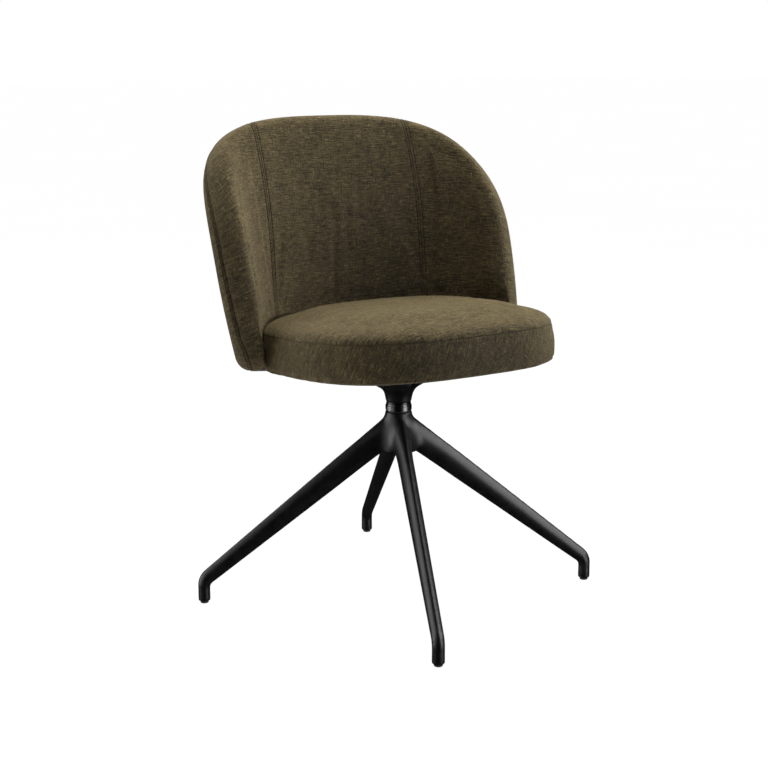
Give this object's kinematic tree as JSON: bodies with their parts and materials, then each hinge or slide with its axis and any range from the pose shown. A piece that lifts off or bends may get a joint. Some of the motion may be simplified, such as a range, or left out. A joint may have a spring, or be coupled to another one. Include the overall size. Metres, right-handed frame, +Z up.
{
  "type": "swivel dining chair",
  "caption": "Swivel dining chair with a wraparound upholstered back, a deep round-cornered seat and a cast base with splayed legs.",
  "frame": {"origin": "on the floor, under the swivel axis", "axes": "+Z up along the swivel axis, the sitter faces -Y, +X to the sitter's left"},
  "size_m": [0.6284, 0.6284, 0.7917],
  "materials": {
    "black_casting": "satin black powder coat on cast aluminium",
    "dark_chrome": "polished dark chrome",
    "black_nylon": "moulded black nylon",
    "steel": "zinc plated steel",
    "plywood": "raw beech plywood",
    "lining": "black nonwoven lining",
    "foam": "moulded polyurethane foam",
    "upholstery": "coarse woven melange upholstery cloth, olive brown"
  },
  "bodies": {
    "base": {"base_casting": "black_casting", "foot_glide_1": "black_nylon", "foot_glide_2": "black_nylon", "foot_glide_3": "black_nylon", "foot_glide_4": "black_nylon", "upper_bush": "black_nylon", "lower_bush": "black_nylon", "swivel_collar": "dark_chrome", "thrust_washer": "dark_chrome", "hub_cap": "black_nylon"},
    "seat": {"spindle": "steel", "spindle_washer": "steel", "spindle_circlip": "steel", "seat_spider": "black_casting", "spider_bolts": "steel", "seat_nuts": "steel", "seat_pan": "plywood", "seat_lining": "lining", "seat_foam": "foam", "seat_cover": "upholstery", "back_brackets": "steel", "bracket_screws": "steel", "backrest_shell": "plywood", "backrest_front_foam": "foam", "backrest_rear_foam": "foam", "backrest_front_cover": "upholstery", "backrest_rear_cover": "upholstery"}
  },
  "joints": [
    {"name": "seat_swivel", "type": "hinge", "parent": "base", "child": "seat", "pos_m": [0, 0, 0.33], "axis": [0, 0, 1], "continuous": true}
  ]
}
